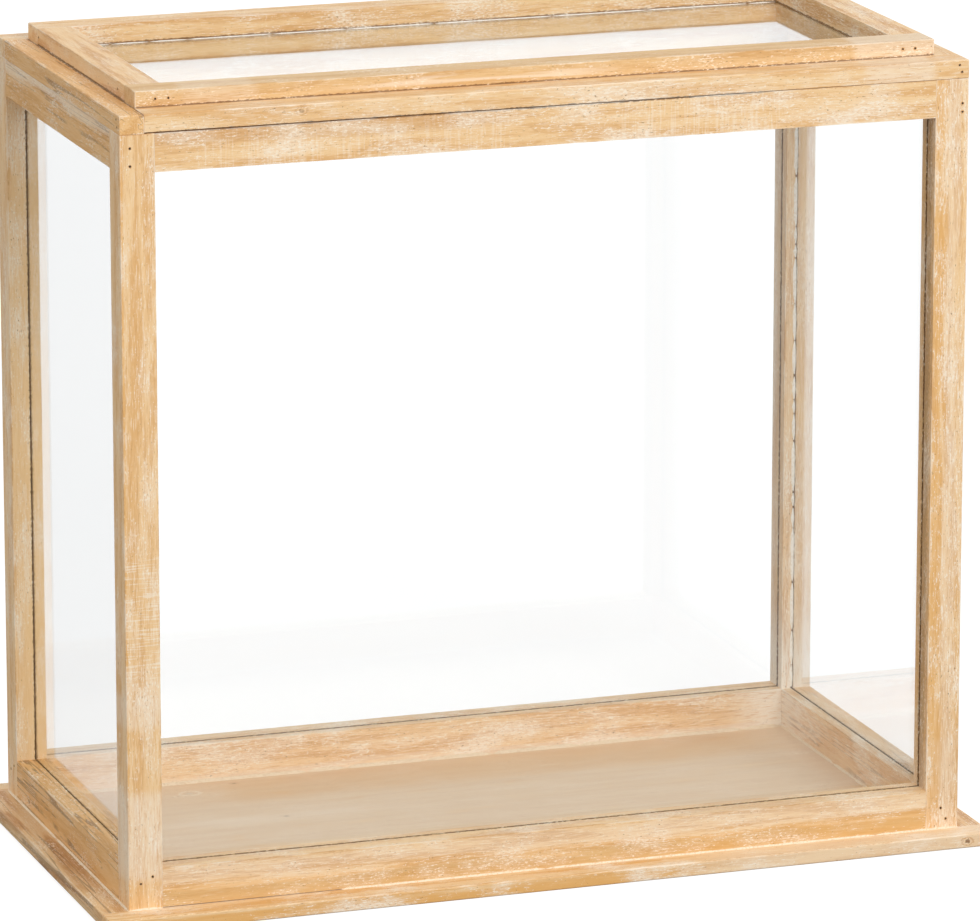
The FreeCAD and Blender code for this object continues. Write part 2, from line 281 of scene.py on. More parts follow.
def cracks(lean, strength=0.7):
    """Thin dark lines that run nearly along the grain. Lean turns them, in degrees."""
    def add(wood, colour):
        turned = wood.tree.nodes.new("ShaderNodeMapping")
        turned.inputs["Rotation"].default_value = (math.radians(lean), 0.0, 0.0)
        scale = [1.0, 1.0, 1.0]
        scale["XYZ".index(wood.axis)] = 1.0 / 45.0
        turned.inputs["Scale"].default_value = scale
        wood.tree.links.new(wood.place, turned.inputs["Vector"])
        lines = noise(wood.tree, turned.outputs[0], 6 * MM, 1.0)
        lines = wood.calc("MULTIPLY", wood.near(lines, 0.5, 0.022), wood.step(wood.patch, 0.38, 0.5))
        return wood.paint(colour, PORE, lines, strength)
    return add


def scratches(strength=0.5):
    """Pale slanting scratches across the grain of an upright piece."""
    def add(wood, colour):
        turned = wood.tree.nodes.new("ShaderNodeMapping")
        turned.inputs["Rotation"].default_value = (0.0, math.radians(-35), 0.0)
        turned.inputs["Scale"].default_value = (1.0, 1.0, 1.0 / 12.0)
        wood.tree.links.new(wood.place, turned.inputs["Vector"])
        strokes = wood.step(noise(wood.tree, turned.outputs[0], 1.6 * MM, 1.0), 0.56, 0.68)
        strokes = wood.calc("MULTIPLY", strokes, wood.step(wood.patch, 0.40, 0.55))
        return wood.paint(colour, LIME, strokes, strength)
    return add


def knot(centre, radius, ring_colour=BROWN, heart=0.8):
    """A small knot: a dark heart with rings about it, drawn out along the grain."""
    def add(wood, colour):
        shift = wood.tree.nodes.new("ShaderNodeMapping")
        scale = [1.0, 1.0, 1.0]
        scale["XYZ".index(wood.axis)] = 0.7
        shift.inputs["Scale"].default_value = scale
        shift.inputs["Location"].default_value = [-c * s for c, s in zip(centre, scale)]
        wood.tree.links.new(wood.place, shift.inputs["Vector"])
        length = wood.tree.nodes.new("ShaderNodeVectorMath")
        length.operation = "LENGTH"
        wood.tree.links.new(shift.outputs[0], length.inputs[0])
        waver = wood.calc("MULTIPLY", wood.calc("SUBTRACT", wood.crumb, 0.5), radius * 0.8)
        reach = wood.calc("ADD", length.outputs["Value"], waver)
        ring = wood.calc("SINE", wood.calc("MULTIPLY", reach, 14.0 / radius))
        ring = wood.calc("MULTIPLY", wood.step(ring, -0.2, 0.9), wood.step(reach, radius, radius * 0.6))
        colour = wood.paint(colour, ring_colour, ring, 0.6)
        return wood.paint(colour, PORE, wood.step(reach, radius * 0.34, radius * 0.1), heart)
    return add


def limed_wood(wood, lime=0.5, haze=0.35, brown=0.3, dull=0.0, figure=1.0, marks=()):
    """lime is how many crumbs of the wash are left, haze how much of it lies as a
    thin film, brown how dark the bare wood is, dull how dusty it is, and figure how
    clearly the grain shows. On the pieces of the left side a low haze and a high
    brown are partly the wood's own tone and partly painted shade of that side."""
    colour = mix_colours(wood.tree, wood.step(wood.streak, 0.30, 0.68), HONEY, STRAW)
    colour = wood.paint(colour, BROWN, wood.step(wood.streak, 0.52, 0.34), brown)
    colour = wood.paint(colour, BROWN, wood.near(wood.streak, 0.455, 0.012), 0.35 * figure)
    colour = wood.paint(colour, STRAW, wood.step(wood.fibre, 0.50, 0.60), 0.55 * figure)
    colour = wood.paint(colour, BROWN, wood.step(wood.fibre, 0.44, 0.34), 0.50 * figure)
    colour = wood.paint(colour, LIME, wood.step(wood.fibre, 0.56, 0.66), 0.45 * figure)
    if dull:
        colour = wood.paint(colour, GREY_WASH, wood.step(wood.patch, 0.05, 0.45), dull)
    for add in marks:
        colour = add(wood, colour)
    film = wood.step(wood.calc("ADD", wood.patch, wood.calc("MULTIPLY", wood.fibre, 0.4)), 0.62, 0.92)
    colour = wood.paint(colour, LIME, film, haze)

    spread = wood.calc("MULTIPLY", wood.patch, 0.55)
    spread = wood.calc("ADD", spread, wood.calc("MULTIPLY", wood.fibre, 0.25))
    spread = wood.calc("ADD", spread, wood.crumb)
    limit = 1.04 - 0.10 * lime
    crumbs = wood.step(spread, limit, limit + 0.045)
    colour = wood.paint(colour, LIME, crumbs, 0.75)
    pores = wood.step(wood.calc("SUBTRACT", wood.crumb, wood.calc("MULTIPLY", wood.patch, 0.15)),
                      0.255, 0.205)
    colour = wood.paint(colour, PORE, pores, 0.65)

    edge = wood.calc("ADD", wood.edge_distance(),
                     wood.calc("MULTIPLY", wood.calc("SUBTRACT", wood.crumb, 0.5), 2.4 * MM))
    worn = wood.step(edge, 0.8 * MM, 0.3 * MM)
    colour = wood.paint(colour, LIME, wood.calc("MULTIPLY", worn, wood.step(wood.patch, 0.42, 0.58)), 0.5)
    colour = wood.paint(colour, BROWN, wood.calc("MULTIPLY", worn, wood.step(wood.patch, 0.50, 0.40)), 0.5)
    colour = dirty_grooves(wood, colour)

    shader = wood.tree.nodes.new("ShaderNodeBsdfPrincipled")
    wood.tree.links.new(colour, shader.inputs["Base Color"])
    rough = wood.tree.nodes.new("ShaderNodeMapRange")
    wood.tree.links.new(crumbs, rough.inputs["Value"])
    rough.inputs["To Min"].default_value = 0.58
    rough.inputs["To Max"].default_value = 0.85
    wood.tree.links.new(rough.outputs[0], shader.inputs["Roughness"])
    shader.inputs["Specular IOR Level"].default_value = 0.35
    bump = wood.tree.nodes.new("ShaderNodeBump")
    bump.inputs["Strength"].default_value = 0.22
    bump.inputs["Distance"].default_value = 0.3 * MM
    wood.tree.links.new(wood.crumb, bump.inputs["Height"])
    wood.tree.links.new(bump.outputs[0], shader.inputs["Normal"])
    wood.tree.links.new(shader.outputs[0], wood.output.inputs["Surface"])
    return wood.material


def dirty_grooves(wood, colour):
    """Dirt in and beside the grooves that hold the panes of the case."""
    height = wood.band(wood.z, GROOVE_LOW_END, GROOVE_HIGH_END, 1 * MM)
    ragged = wood.calc("MULTIPLY", wood.calc("SUBTRACT", wood.crumb, 0.42), 3.0 * MM)
    for across, place, beside, reach in (
            (wood.x, GROOVE_PLACE_X, wood.y, GROOVE_REACH_Y),
            (wood.y, GROOVE_PLACE_Y, wood.x, GROOVE_REACH_X)):
        gap = wood.calc("ABSOLUTE", wood.calc("SUBTRACT", wood.calc("ABSOLUTE", across), place))
        gap = wood.calc("ADD", gap, ragged)
        inside = wood.step(gap, GROOVE_HALF_WIDTH + 0.9 * MM, GROOVE_HALF_WIDTH + 0.2 * MM)
        inner = wood.step(wood.calc("ABSOLUTE", beside), reach + 0.1 * MM, reach - 0.1 * MM)
        inside = wood.calc("MULTIPLY", wood.calc("MULTIPLY", inside, inner), height)
        colour = wood.paint(colour, DIRT_AND_SHADE, inside, 0.8)
    return colour


LID_PANE_TOP = 550 * MM
LID_HALF_WIDTH = 283 * MM
LID_HALF_DEPTH = 129.5 * MM
LID_INNER_X = 259 * MM
LID_INNER_Y = 105.5 * MM
RIM_HEIGHT = 13 * MM


def ease_edges(node, width):
    """Take the sharpness off every edge, which also shows where pieces meet."""
    weld = node.modifiers.new("weld", "WELD")
    weld.merge_threshold = 0.01 * MM
    join = node.modifiers.new("join_faces", "DECIMATE")
    join.decimate_type = "DISSOLVE"
    join.angle_limit = math.radians(1)
    bevel = node.modifiers.new("eased_edges", "BEVEL")
    bevel.width = width
    bevel.segments = 2
    bevel.limit_method = "ANGLE"
    bevel.angle_limit = math.radians(50)


def dress(name, axis, seed, eased=0.3 * MM, **look):
    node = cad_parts[name]
    wood = Wood(name, axis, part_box(name), seed)
    node.data.materials.clear()
    node.data.materials.append(limed_wood(wood, **look))
    ease_edges(node, eased)


def dress_posts():
    inner = BODY_HALF_WIDTH - POST_SIDE
    front = ("Y", -BODY_HALF_DEPTH)
    dress("post_front_left", "Z", 1, lime=0.3, haze=0.4, brown=0.05, figure=0.8, marks=(
        seam("X", -BODY_HALF_WIDTH + 0.9 * MM, 0.8 * MM, 0.6, face=front, over=ORANGE),
        saw_marks(168 * MM, 256 * MM, front, 0.6), pale_patch(136 * MM, 157 * MM, 0.35),
        pale_patch(30 * MM, 91 * MM, 0.4)))
    dress("post_front_right", "Z", 2, lime=0.4, haze=0.35, brown=0.15, marks=(
        tinted_strip("X", inner, inner + 8 * MM, ORANGE, 0.6),
        tinted_strip("X", inner + 9 * MM, inner + 18 * MM, LIME, 0.2),
        seam("Y", -GROOVE_PLACE_Y - 4 * MM, 7.0 * MM, 0.4, face=("X", inner), over=PORE),
        pale_patch(12 * MM, 75 * MM, 0.15)))
    # The straw strip over the whole post, with brown at 0, paints it lighter to offset the shade it lies
    # in: painted light.
    dress("post_back_left", "Z", 3, lime=0.3, haze=0.35, brown=0.0, marks=(
        tinted_strip("X", -BODY_HALF_WIDTH, -inner, STRAW, 0.75), scratches(0.35)))
    dress("post_back_right", "Z", 4, lime=0.2, haze=0.35, brown=0.35, dull=0.3, marks=(
        pale_patch(0, 80 * MM, 0.85, 60 * MM, PALE_DUST, ("X", inner)),
        pale_patch(0, 80 * MM, 0.85, 60 * MM, PALE_DUST, ("Y", BODY_HALF_DEPTH - POST_SIDE))))


def dress_rails():
    low = BASE_TOP
    front = ("Y", -BODY_HALF_DEPTH)
    inside_back = ("Y", BODY_HALF_DEPTH - POST_SIDE)
    inside_right = ("X", BODY_HALF_WIDTH - POST_SIDE)
    dress("bottom_rail_front", "X", 5, lime=0.2, haze=0.3, brown=0.25, marks=(
        tinted_strip("Z", low, low + 13 * MM, ORANGE, 0.3),
        # painted shade that offsets the orange bounce from the base's ledge
        tinted_strip("Z", low - 4 * MM, low + 11 * MM, DULL_HONEY, 0.5),
        tinted_strip("Z", low - 4 * MM, low + 14 * MM, ORANGE, 0.35, reach=(90 * MM, 330 * MM)),
        tinted_strip("Z", low + 16 * MM, low + 27 * MM, LIME, 0.25)))
    dress("bottom_rail_back", "X", 6, lime=0.3, haze=0.5, brown=0.15, dull=0.1, marks=(
        tinted_strip("Z", low - 8 * MM, low + 5 * MM, LIME, 0.4),
        pale_patch(250 * MM, 300 * MM, 0.85, 50 * MM, PALE_DUST, inside_back),))
    # Low haze and high brown: partly the wood's tone, partly painted shade of the left side.
    dress("bottom_rail_left", "Y", 7, lime=0.2, haze=0.08, brown=0.6, marks=(
        tinted_strip("Z", low - 20 * MM, low + 45 * MM, ORANGE, 0.5),
        cracks(4, 0.6), knot((-300 * MM, 96 * MM, 17 * MM), 6 * MM)))
    dress("bottom_rail_right", "Y", 8, lime=0.4, haze=0.6, brown=0.0, dull=0.2, figure=0.6, marks=(
        pale_patch(95 * MM, 160 * MM, 0.8, 40 * MM, PALE_DUST, inside_right), cracks(0, 0.35)))
    dress("top_rail_front", "X", 9, lime=0.35, haze=0.5, brown=0.1, figure=0.8, marks=(
        saw_marks(-246 * MM, -31 * MM, front, 0.3), saw_marks(50 * MM, 165 * MM, front, 0.35),
        seam("Z", BODY_TOP - RIM_HEIGHT, 0.7 * MM, 0.95, (-290 * MM, 150 * MM), front, GAP_SHADE),
        tinted_strip("Z", 531 * MM, 542 * MM, BROWN, 0.4, reach=(-290 * MM, -40 * MM))))
    dress("top_rail_back", "X", 10, lime=0.3, haze=0.35, brown=0.35, dull=0.2)
    # Low haze and high brown: partly the wood's tone, partly painted shade of the left side.
    dress("top_rail_left", "Y", 11, lime=0.3, haze=0.08, brown=0.6, marks=(
        tinted_strip("Z", 500 * MM, 534 * MM, ORANGE, 0.5),
        tinted_strip("Z", 534 * MM, 541 * MM, LIME, 0.35), cracks(-6, 0.4)))
    dress("top_rail_right", "Y", 12, lime=0.3, haze=0.35, brown=0.5, dull=0.2)


def dress_base():
    floor = BASE_TOP
    dress("base_panel", "X", 13, lime=-0.8, haze=0.12, brown=0.05, dull=0.78, figure=0.5, marks=(
        tinted_strip("Y", 70 * MM, 122 * MM, HONEY, 0.45, 24 * MM, reach=(-170 * MM, 250 * MM)),
        tinted_strip("Y", 20 * MM, 34 * MM, LIME, 0.25, 12 * MM, reach=(-230 * MM, -60 * MM)),
        knot((-181 * MM, 102 * MM, floor), 9 * MM, LIME, 0.2),
        knot((-144 * MM, 116 * MM, floor), 4 * MM, heart=0.5),
        knot((-133 * MM, 27 * MM, floor), 7 * MM, GREY_WASH, 0.35)))
    dress("base_lipping_front", "X", 14, lime=0.3, haze=0.6, brown=0.1, figure=0.7, marks=(
        tinted_strip("Z", -2 * MM, 8 * MM, ORANGE, 0.8, reach=(-340 * MM, 90 * MM)),
        tinted_strip("Z", -2 * MM, 12 * MM, LIME, 0.4, reach=(110 * MM, 360 * MM)),
        tinted_strip("Z", -2 * MM, 12 * MM, STRAW, 0.3, reach=(110 * MM, 360 * MM)),
        knot((300 * MM, -169.8 * MM, 5 * MM), 5 * MM)))
    dress("base_lipping_back", "X", 15, lime=0.35, haze=0.3, brown=0.4)
    # Low haze, high brown and a faint dark strip: partly the wood's tone, partly painted shade of the left
    # side.
    dress("base_lipping_left", "Y", 16, lime=0.0, haze=0.05, brown=0.95, figure=0.5, marks=(
        tinted_strip("Z", -20 * MM, 30 * MM, PORE, 0.12),
        cracks(0, 0.5),))
    dress("base_lipping_right", "Y", 17, lime=0.1, haze=0.2, brown=0.7)


def dress_lid():
    pane_top = LID_PANE_TOP + 0.7 * MM
    foot = BODY_TOP + 0.3 * MM
    # The seams at the foot of the lid's frame, and where its pane meets the frame's inner faces, are
    # painted shade: the pieces meet there without a gap.
    dress("lid_frame_front", "X", 18, lime=-0.1, haze=0.1, brown=0.4, marks=(
        # a darker tint over the front face offsets the orange bounce light on it: painted shade
        tinted_strip("Z", LID_PANE_TOP, BODY_TOP + 20 * MM, DULL_HONEY, 0.45),
        tinted_strip("Z", 557 * MM, 560 * MM, LIME, 0.5, 2 * MM, reach=(-130 * MM, 40 * MM)),
        pale_patch(225 * MM, 290 * MM, 0.4), pale_patch(-250 * MM, -200 * MM, 0.25),
        seam("Z", foot, 0.8 * MM, face=("Y", -LID_HALF_DEPTH))))
    dress("lid_frame_back", "X", 19, lime=0.3, haze=0.25, brown=0.15, figure=0.8, marks=(
        seam("Z", pane_top, 1.0 * MM, face=("Y", LID_INNER_Y)),))
    dress("lid_frame_left", "Y", 20, lime=-0.2, haze=0.3, brown=0.5, figure=0.6, marks=(
        seam("Z", foot, 0.8 * MM, face=("X", -LID_HALF_WIDTH)),))
    dress("lid_frame_right", "Y", 21, lime=0.3, haze=0.3, brown=0.5, marks=(
        seam("Z", pane_top, 0.7 * MM, face=("X", LID_INNER_X)),))
    dress("lid_rim_front", "X", 22, lime=0.1, haze=0.45, brown=0.05, figure=0.6, marks=(
        seam("Z", BODY_TOP - RIM_HEIGHT, 1.0 * MM, 0.95, (-290 * MM, 150 * MM),
             ("Y", -BODY_HALF_DEPTH), GAP_SHADE),
        knot((-175 * MM, -151 * MM, 548.5 * MM), 5 * MM, heart=0.4),
        pale_patch(225 * MM, 275 * MM, 0.4)))
    dress("lid_rim_back", "X", 23, lime=0.3, haze=0.3, brown=0.3)
    # Low haze and high brown: partly the wood's tone, partly painted shade of the left side.
    dress("lid_rim_left", "Y", 24, lime=0.3, haze=0.08, brown=0.6, marks=(
        tinted_strip("Z", 520 * MM, BODY_TOP + 20 * MM, ORANGE, 0.45),
        # The seam on the rim's top, at the foot of the frame, is painted shade.
        seam("X", -LID_HALF_WIDTH - 0.7 * MM, 0.9 * MM, face=("Z", BODY_TOP)), cracks(0, 0.5)))
    dress("lid_rim_right", "Y", 25, lime=0.3, haze=0.3, brown=0.5)


# Glass

def clear_glass(name, tint):
    material, tree, output = new_material(name)
    glass = tree.nodes.new("ShaderNodeBsdfPrincipled")
    glass.inputs["Base Color"].default_value = (*tint, 1.0)
    glass.inputs["IOR"].default_value = 1.5
    glass.inputs["Transmission Weight"].default_value = 1.0
    glass.inputs["Roughness"].default_value = 0.0
    source = tree.nodes.new("ShaderNodeTexCoord")
    wave = noise(tree, source.outputs["Object"], 60 * MM, 1.0)
    bump = tree.nodes.new("ShaderNodeBump")
    bump.inputs["Strength"].default_value = 0.15
    bump.inputs["Distance"].default_value = 0.05 * MM
    tree.links.new(wave, bump.inputs["Height"])
    tree.links.new(bump.outputs[0], glass.inputs["Normal"])
    clear = tree.nodes.new("ShaderNodeBsdfTransparent")
    clear.inputs["Color"].default_value = (0.95, 0.96, 0.96, 1.0)
    path = tree.nodes.new("ShaderNodeLightPath")
    lamp_ray = math_node(tree, "MAXIMUM", path.outputs["Is Shadow Ray"],
                         path.outputs["Is Diffuse Ray"])
    mix = tree.nodes.new("ShaderNodeMixShader")
    tree.links.new(lamp_ray, mix.inputs[0])
    tree.links.new(glass.outputs[0], mix.inputs[1])
    tree.links.new(clear.outputs[0], mix.inputs[2])
    tree.links.new(mix.outputs[0], output.inputs["Surface"])
    return material


def dress_glass():
    case_glass = clear_glass("clear_glass", (0.972, 0.978, 0.980))
    panes = {"lid_glass": clear_glass("lid_glass", (0.93, 0.97, 0.99))}
    for side in ("front", "back", "left", "right"):
        panes["glass_" + side] = case_glass
    for name, material in panes.items():
        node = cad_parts[name]
        node.data.materials.clear()
        node.data.materials.append(material)


dress_posts()
dress_rails()
dress_base()
dress_lid()
dress_glass()


# Nails. The heads are small dark spots in slightly raised rings of wood.

HEAD_RADIUS = 0.7 * MM
RING_RADIUS = 1.3 * MM
SIDES = 14


def nail_material():
    material, tree, output = new_material("nail_steel")
    source = tree.nodes.new("ShaderNodeTexCoord")
    grime = noise(tree, source.outputs["Object"], 0.5 * MM, 3.0, 0.7)
    shader = tree.nodes.new("ShaderNodeBsdfPrincipled")
    colour = mix_colours(tree, step_between(tree, grime, 0.4, 0.65),
                         srgb(46, 34, 26), srgb(104, 82, 62))
    tree.links.new(colour, shader.inputs["Base Color"])
    rough = tree.nodes.new("ShaderNodeMapRange")
    tree.links.new(grime, rough.inputs["Value"])
    rough.inputs["To Min"].default_value = 0.5
    rough.inputs["To Max"].default_value = 0.9
    tree.links.new(rough.outputs[0], shader.inputs["Roughness"])
    shader.inputs["Metallic"].default_value = 0.5
    tree.links.new(shader.outputs[0], output.inputs["Surface"])
    return material


def bruised_wood():
    material, tree, output = new_material("nail_ring_wood")
    source = tree.nodes.new("ShaderNodeTexCoord")
    crumb = noise(tree, source.outputs["Object"], 0.6 * MM, 3.0, 0.7)
    colour = mix_colours(tree, step_between(tree, crumb, 0.38, 0.66), BROWN, STRAW)
    shader = tree.nodes.new("ShaderNodeBsdfPrincipled")
    tree.links.new(colour, shader.inputs["Base Color"])
    rough = tree.nodes.new("ShaderNodeMapRange")
    tree.links.new(crumb, rough.inputs["Value"])
    rough.inputs["To Min"].default_value = 0.6
    rough.inputs["To Max"].default_value = 0.9
    tree.links.new(rough.outputs[0], shader.inputs["Roughness"])
    tree.links.new(shader.outputs[0], output.inputs["Surface"])
    return material


def add_nail(mesh, place, outward, luck):
    """A ring of bruised wood with a dished dark head in it, closed at the back."""
    turn = outward.to_track_quat("Z", "Y").to_matrix().to_4x4()
    turn = Matrix.Translation(place) @ turn
    rings = []
    profile = ((RING_RADIUS, -0.25 * MM), (RING_RADIUS, 0.01 * MM), (HEAD_RADIUS * 1.12, 0.14 * MM),
               (HEAD_RADIUS, 0.05 * MM), (HEAD_RADIUS * 0.45, 0.02 * MM))
    for radius, height in profile:
        ring = []
        for step in range(SIDES):
            angle = 2 * math.pi * step / SIDES
            reach = radius * (1 + luck.uniform(-0.16, 0.16))
            point = Vector((reach * math.cos(angle), reach * math.sin(angle), height))
            ring.append(mesh.verts.new(turn @ point))
        rings.append(ring)
    for number in range(len(rings) - 1):
        for step in range(SIDES):
            after = (step + 1) % SIDES
            face = mesh.faces.new((rings[number][step], rings[number][after],
                                   rings[number + 1][after], rings[number + 1][step]))
            face.material_index = 0 if number >= 2 else 1
    mesh.faces.new(rings[-1])
    back = mesh.faces.new(rings[0][::-1])
    back.material_index = 1


def make_nails(name, places, body, seed):
    luck = random.Random(seed)
    mesh = bmesh.new()
    for place, outward in places:
        add_nail(mesh, Vector(place), Vector(outward), luck)
    data = bpy.data.meshes.new(name)
    mesh.to_mesh(data)
    mesh.free()
    data.materials.append(steel)
    data.materials.append(ring_wood)
    nails = bpy.data.objects.new(name, data)
    bpy.context.scene.collection.objects.link(nails)
    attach(nails, body)


FRONT = (0, -1, 0)
BACK = (0, 1, 0)
LEFT = (-1, 0, 0)
RIGHT = (1, 0, 0)


def post_nails():
    """Two nails near the top and two near the foot of the outer faces of the posts.
    Each entry is the distance from the left edge of the face and the height."""
    by_left_edge = ((7, 531), (7, 519), (8.7, 28.3), (17, 32.6))
    by_right_edge = ((4.5, 523), (4.5, 517), (12.8, 25), (9, 17))
    places = []
    for inset, height in by_left_edge:
        places.append(((-BODY_HALF_WIDTH + inset * MM, -BODY_HALF_DEPTH, height * MM), FRONT))
        places.append(((BODY_HALF_WIDTH - inset * MM, BODY_HALF_DEPTH, height * MM), BACK))
        places.append(((-BODY_HALF_WIDTH, BODY_HALF_DEPTH - inset * MM, height * MM), LEFT))
        places.append(((BODY_HALF_WIDTH, -BODY_HALF_DEPTH + inset * MM, height * MM), RIGHT))
    for inset, height in by_right_edge:
        places.append(((BODY_HALF_WIDTH - inset * MM, -BODY_HALF_DEPTH, height * MM), FRONT))
        places.append(((-BODY_HALF_WIDTH + inset * MM, BODY_HALF_DEPTH, height * MM), BACK))
    return places


def lid_nails():
    """Nails in the ends of the lid's front and back members and in its left side."""
    top = BODY_TOP - RIM_HEIGHT + 18.6 * MM
    places = []
    for inset in (14, 23):
        for side in (-1, 1):
            places.append(((side * (LID_HALF_WIDTH - inset * MM), -LID_HALF_DEPTH, top), FRONT))
            places.append(((side * (LID_HALF_WIDTH - inset * MM), LID_HALF_DEPTH, top), BACK))
    for along, outward in ((-LID_HALF_WIDTH, LEFT), (LID_HALF_WIDTH, RIGHT)):
        places.append(((along, -LID_HALF_DEPTH + 40 * MM, top), outward))
        places.append(((along, LID_HALF_DEPTH - 27 * MM, top), outward))
    return places


def rim_nails():
    """Two nails at each corner of the rim, in the strip that runs past."""
    places = []
    for inset, height in ((7.0, 9.5), (5.2, 4.6)):
        z = 540 * MM + height * MM
        places.append(((BODY_HALF_WIDTH - inset * MM, -BODY_HALF_DEPTH, z), FRONT))
        places.append(((-BODY_HALF_WIDTH + inset * MM, BODY_HALF_DEPTH, z), BACK))
        places.append(((BODY_HALF_WIDTH, BODY_HALF_DEPTH - inset * MM, z), RIGHT))
        places.append(((-BODY_HALF_WIDTH, -BODY_HALF_DEPTH + inset * MM, z), LEFT))
    return places


steel = nail_material()
ring_wood = bruised_wood()
make_nails("nails_posts", post_nails(), "case", 5)
make_nails("nails_lid_frame", lid_nails(), "lid", 6)
make_nails("nails_lid_rim", rim_nails(), "lid", 7)


# Lime left in the joint between the body and its base: a thin ragged bead

def bead_material(name, dull, pale):
    material, tree, output = new_material(name)
    source = tree.nodes.new("ShaderNodeTexCoord")
    crumb = noise(tree, source.outputs["Object"], 1.6 * MM, 3.0, 0.7)
    worn = step_between(tree, crumb, 0.30, 0.55)
    colour = mix_colours(tree, worn, dull, pale)
    shader = tree.nodes.new("ShaderNodeBsdfPrincipled")
    tree.links.new(colour, shader.inputs["Base Color"])
    rough = tree.nodes.new("ShaderNodeMapRange")
    tree.links.new(crumb, rough.inputs["Value"])
    rough.inputs["To Min"].default_value = 0.75
    rough.inputs["To Max"].default_value = 0.95
    tree.links.new(rough.outputs[0], shader.inputs["Roughness"])
    bump = tree.nodes.new("ShaderNodeBump")
    bump.inputs["Strength"].default_value = 0.5
    bump.inputs["Distance"].default_value = 0.2 * MM
    tree.links.new(crumb, bump.inputs["Height"])
    tree.links.new(bump.outputs[0], shader.inputs["Normal"])
    tree.links.new(shader.outputs[0], output.inputs["Surface"])
    return material


def add_bead(mesh, start, end, outward, up, width, luck):
    """A closed bead from start to end in the corner of two faces, with a ragged
    outer side. Outward and up point away from the two faces."""
    length = (end - start).length
    count = max(2, round(length / (6 * MM)))
    rings = []
    for number in range(count + 1):
        place = start.lerp(end, number / count)
        taper = 0.3 if number in (0, count) else 1.0
        out = taper * width * luck.uniform(0.85, 1.0)
        rise = taper * width * luck.uniform(0.85, 1.0)
        hidden = 0.2 * MM
        corners = (-hidden * outward - hidden * up, out * outward - hidden * up,
                   0.5 * out * outward + 0.6 * rise * up, -hidden * outward + rise * up)
        rings.append([mesh.verts.new(place + corner) for corner in corners])
    sides = len(rings[0])
    for before, after in zip(rings, rings[1:]):
        for number in range(sides):
            other = (number + 1) % sides
            mesh.faces.new((before[number], before[other], after[other], after[number]))
    mesh.faces.new(rings[0][::-1])
    mesh.faces.new(rings[-1])
    bmesh.ops.recalc_face_normals(mesh, faces=mesh.faces)


def make_beads(name, runs, body, seed, longest, material):
    """Each run is a start, an end, two directions and a width. It breaks off here
    and there, so that the joint shows."""
    luck = random.Random(seed)
    mesh = bmesh.new()
    for start, end, outward, up, width in runs:
        start, end = Vector(start), Vector(end)
        length = (end - start).length
        place = 0.0
        while place < length - 4 * MM:
            piece = min(luck.uniform(0.2, 1.0) * longest, length - place)
            add_bead(mesh, start.lerp(end, place / length), start.lerp(end, (place + piece) / length),
                     Vector(outward), Vector(up), width, luck)
            place += piece + luck.uniform(0.3, 2.0) * MM
    data = bpy.data.meshes.new(name)
    mesh.to_mesh(data)
    mesh.free()
    data.materials.append(material)
    beads = bpy.data.objects.new(name, data)
    bpy.context.scene.collection.objects.link(beads)
    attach(beads, body)


UP = (0, 0, 1)


def foot_runs():
    """Round the outside of the body, where it stands on the base."""
    x, y, z = BODY_HALF_WIDTH, BODY_HALF_DEPTH, BASE_TOP
    width = 1.3 * MM
    return (((-150 * MM, -y, z), (x, -y, z), FRONT, UP, width),
            ((-x, -y, z), (-x + POST_SIDE, -y, z), FRONT, UP, width),
            ((-x, y, z), (-x, -y, z), LEFT, UP, width),
            ((x, y, z), (-x, y, z), BACK, UP, width),
            ((x, -y, z), (x, y, z), RIGHT, UP, width))


def floor_runs():
    """Round the inside of the case, where the rails stand on its floor."""
    x, y, z = BODY_HALF_WIDTH - POST_SIDE, BODY_HALF_DEPTH - POST_SIDE, BASE_TOP
    return (((-x, y, z), (x, y, z), FRONT, UP, 2.2 * MM),
            ((x, -y, z), (x, y, z), LEFT, UP, 1.6 * MM),
            ((-x, y, z), (-x, -y, z), RIGHT, UP, 0.8 * MM),
            ((x, -y, z), (-x, -y, z), BACK, UP, 0.8 * MM))


def pane_runs():
    """Beside the right pane, at its back edge."""
    low, high = 39 * MM, 513 * MM
    inside_pane = 283.75 * MM
    y = BODY_HALF_DEPTH - POST_SIDE
    return (((inside_pane, y, low), (inside_pane, y, high), FRONT, LEFT, 2.0 * MM),)


def lid_pane_runs():
    x, y, z = LID_INNER_X - 1 * MM, LID_INNER_Y, LID_PANE_TOP
    return (((-x, y, z), (x, y, z), FRONT, UP, 0.55 * MM),)


lime = bead_material("lime_bead", srgb(230, 200, 158), srgb(246, 230, 204))
dusty_lime = bead_material("dusty_lime", srgb(222, 194, 158), srgb(236, 216, 186))
# A near-white bead along the edges of the panes.
white_bead = bead_material("pane_white_bead", srgb(236, 226, 208), srgb(255, 252, 244))
make_beads("lime_foot", foot_runs(), "case", 11, 260 * MM, lime)
make_beads("lime_floor", floor_runs(), "case", 12, 120 * MM, dusty_lime)
make_beads("pane_edge_bead", pane_runs(), "case", 13, 40 * MM, white_bead)
make_beads("lid_pane_edge_bead", lid_pane_runs(), "lid", 14, 90 * MM, white_bead)


# Floor, light and camera

def seen_ray(tree, in_gloss=1.0):
    """1 for what the camera sees directly or through glass, in_gloss in a reflection."""
    path = tree.nodes.new("ShaderNodeLightPath")
    seen = math_node(tree, "MAXIMUM", path.outputs["Is Camera Ray"],
                     path.outputs["Is Transmission Ray"])
    gloss = math_node(tree, "MULTIPLY", path.outputs["Is Glossy Ray"], in_gloss)
    return math_node(tree, "MAXIMUM", seen, gloss)


